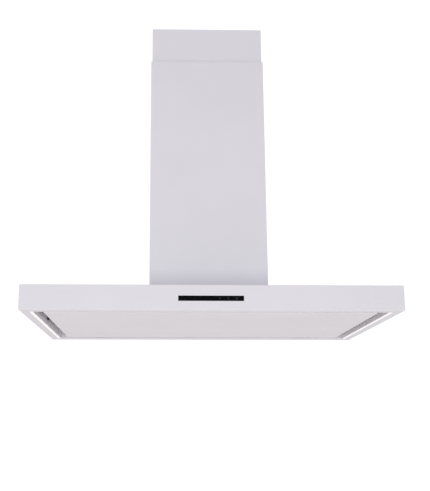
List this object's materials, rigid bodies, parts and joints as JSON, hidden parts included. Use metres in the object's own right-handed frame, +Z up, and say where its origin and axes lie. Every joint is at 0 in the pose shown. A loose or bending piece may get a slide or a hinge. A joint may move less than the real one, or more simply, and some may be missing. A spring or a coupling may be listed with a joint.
{
  "type": "island range hood",
  "caption": "Ceiling-hung island range hood: flat rectangular canopy with perimeter suction panel, side light bars and touch strip, on a square telescopic chimney.",
  "frame": {"origin": "centre of the ceiling plate's top face, in the middle of its four fixing holes", "axes": "+Z up, -Y towards the touch panel at the front, +X to the right for somebody facing the touch panel"},
  "size_m": [0.9, 0.6, 0.793],
  "materials": {
    "white_paint": "satin powder coat",
    "white_screw": "satin paint",
    "galvanised_steel": "galvanised",
    "zinc_screw": "zinc plated",
    "motor_paint": "satin",
    "wheel_steel": "galvanised",
    "mount_rubber": "matte",
    "black_plastic": "matte",
    "grey_plastic": "matte",
    "white_plastic": "matte",
    "green_board": "satin solder mask",
    "terminal_plastic": "matte",
    "capacitor_plastic": "matte",
    "white_aluminium": "satin powder coat",
    "anodised_aluminium": "anodised",
    "filter_aluminium": "expanded mesh",
    "led_board": "satin",
    "opal_diffuser": "opal, lit from behind",
    "black_glass": "polished"
  },
  "bodies": {
    "ceiling_frame": {"ceiling_plate": "galvanised_steel", "upper_frame_band": "galvanised_steel", "upper_upright_front_left": "galvanised_steel", "upper_upright_front_right": "galvanised_steel", "upper_upright_rear_left": "galvanised_steel", "upper_upright_rear_right": "galvanised_steel", "upper_cover_front": "white_paint", "upper_cover_rear": "white_paint", "upper_cover_screws": "white_screw"},
    "lower_cover": {"lower_cover_front": "white_paint", "lower_cover_rear": "white_paint", "lower_cover_screws": "white_screw"},
    "suction_panel": {"suction_panel_skin": "white_paint", "panel_stiffeners": "galvanised_steel", "hinge_leaves": "galvanised_steel", "catch_studs": "zinc_screw"},
    "impeller": {"impeller_wheel": "wheel_steel", "motor_shaft": "zinc_screw"},
    "flap_left": {"backdraught_flap_left": "black_plastic"},
    "flap_right": {"backdraught_flap_right": "black_plastic"},
    "latch_left": {"filter_latch_left": "black_plastic"},
    "latch_right": {"filter_latch_right": "black_plastic"},
    "hood_body": {"base_bolts": "zinc_screw", "blower_box": "galvanised_steel", "blower_scroll_left": "galvanised_steel", "blower_scroll_right": "galvanised_steel", "canopy_shell": "white_paint", "control_box": "grey_plastic", "control_box_lid": "grey_plastic", "control_glass": "black_glass", "filter_channels": "white_paint", "filter_frame_left": "anodised_aluminium", "filter_frame_right": "anodised_aluminium", "filter_mesh_left": "filter_aluminium", "filter_mesh_right": "filter_aluminium", "flap_pin": "zinc_screw", "frame_screws": "zinc_screw", "height_clamp_screws": "zinc_screw", "hinge_brackets": "galvanised_steel", "hinge_pins": "zinc_screw", "inner_liner": "white_paint", "led_diffusers": "opal_diffuser", "led_driver": "white_plastic", "led_profiles": "white_aluminium", "led_strips": "led_board", "lower_upright_front_left": "galvanised_steel", "lower_upright_front_right": "galvanised_steel", "lower_upright_rear_left": "galvanised_steel", "lower_upright_rear_right": "galvanised_steel", "mains_cable_gland": "black_plastic", "motor": "motor_paint", "motor_capacitor": "capacitor_plastic", "motor_rubber_mounts": "mount_rubber", "motor_spider": "galvanised_steel", "outlet_adapter": "galvanised_steel", "panel_catches": "black_plastic", "power_board": "green_board", "terminal_block": "terminal_plastic", "touch_board": "green_board", "touch_board_holder": "black_plastic"}
  },
  "joints": [
    {"name": "height_adjust", "type": "slide", "parent": "ceiling_frame", "child": "hood_body", "axis": [0, 0, -1], "range_m": [0, 0.33]},
    {"name": "lower_cover_lift", "type": "slide", "parent": "hood_body", "child": "lower_cover", "axis": [0, 0, 1], "range_m": [0, 0.09]},
    {"name": "panel_hinge", "type": "hinge", "parent": "hood_body", "child": "suction_panel", "pos_m": [0, 0.237, -0.775], "axis": [1, 0, 0], "range_deg": [0, 88]},
    {"name": "impeller_spin", "type": "hinge", "parent": "hood_body", "child": "impeller", "pos_m": [0, -0.03, -0.608], "axis": [1, 0, 0], "continuous": true},
    {"name": "flap_left_swing", "type": "hinge", "parent": "hood_body", "child": "flap_left", "pos_m": [0, 0, -0.44], "axis": [0, 1, 0], "range_deg": [0, 74]},
    {"name": "flap_right_swing", "type": "hinge", "parent": "hood_body", "child": "flap_right", "pos_m": [0, 0, -0.44], "axis": [0, -1, 0], "range_deg": [0, 74]},
    {"name": "latch_left_slide", "type": "slide", "parent": "hood_body", "child": "latch_left", "axis": [0, 1, 0], "range_m": [0, 0.006], "stiffness_N_per_m": 600, "springref_m": -0.004},
    {"name": "latch_right_slide", "type": "slide", "parent": "hood_body", "child": "latch_right", "axis": [0, 1, 0], "range_m": [0, 0.006], "stiffness_N_per_m": 600, "springref_m": -0.004}
  ]
}
